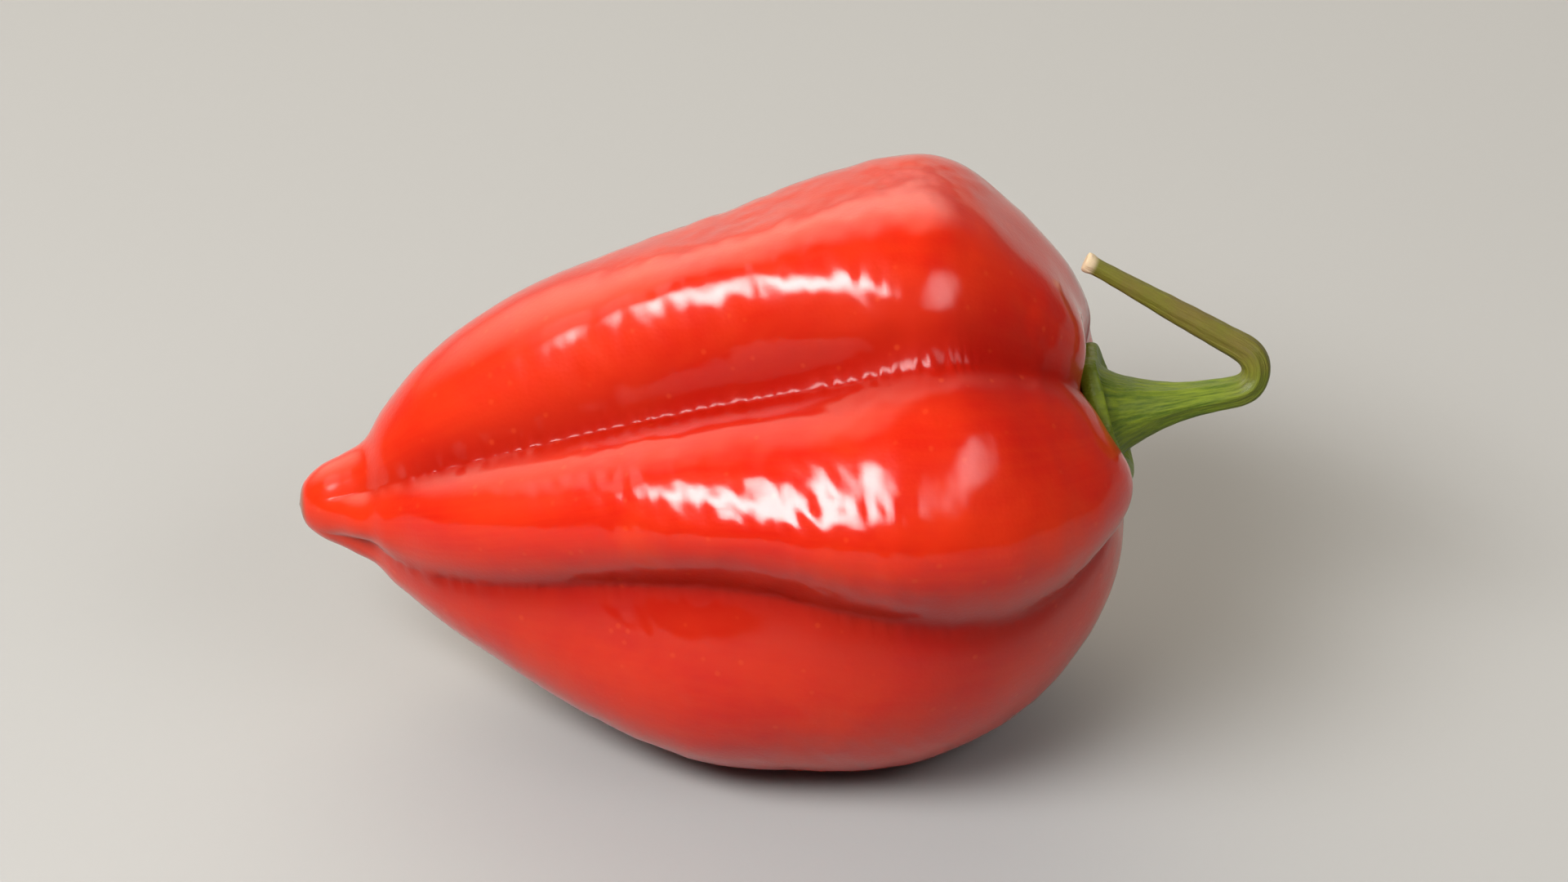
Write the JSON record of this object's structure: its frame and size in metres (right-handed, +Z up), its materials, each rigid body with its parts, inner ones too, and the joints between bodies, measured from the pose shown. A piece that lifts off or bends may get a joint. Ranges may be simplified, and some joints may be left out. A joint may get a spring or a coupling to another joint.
{
  "type": "red habanero pepper",
  "caption": "Whole red habanero pepper as picked: a lobed, pointed fruit lying on its side, with its green calyx and sharply bent stem.",
  "frame": {"origin": "middle of the underside of the box round the whole pepper, on the surface that it lies on", "axes": "+X from the pointed tip towards the stem, along the longest extent; +Z up; -Y is the side that the picture shows"},
  "size_m": [0.0724, 0.0472, 0.0447],
  "materials": {
    "red_skin": "thin waxy gloss over a deep orange-red skin",
    "green_stem": "soft satin yellow-green, paler along the rim and at the cut end"
  },
  "bodies": {
    "root": {"fruit": "red_skin", "calyx_and_stem": "green_stem"}
  },
  "joints": []
}
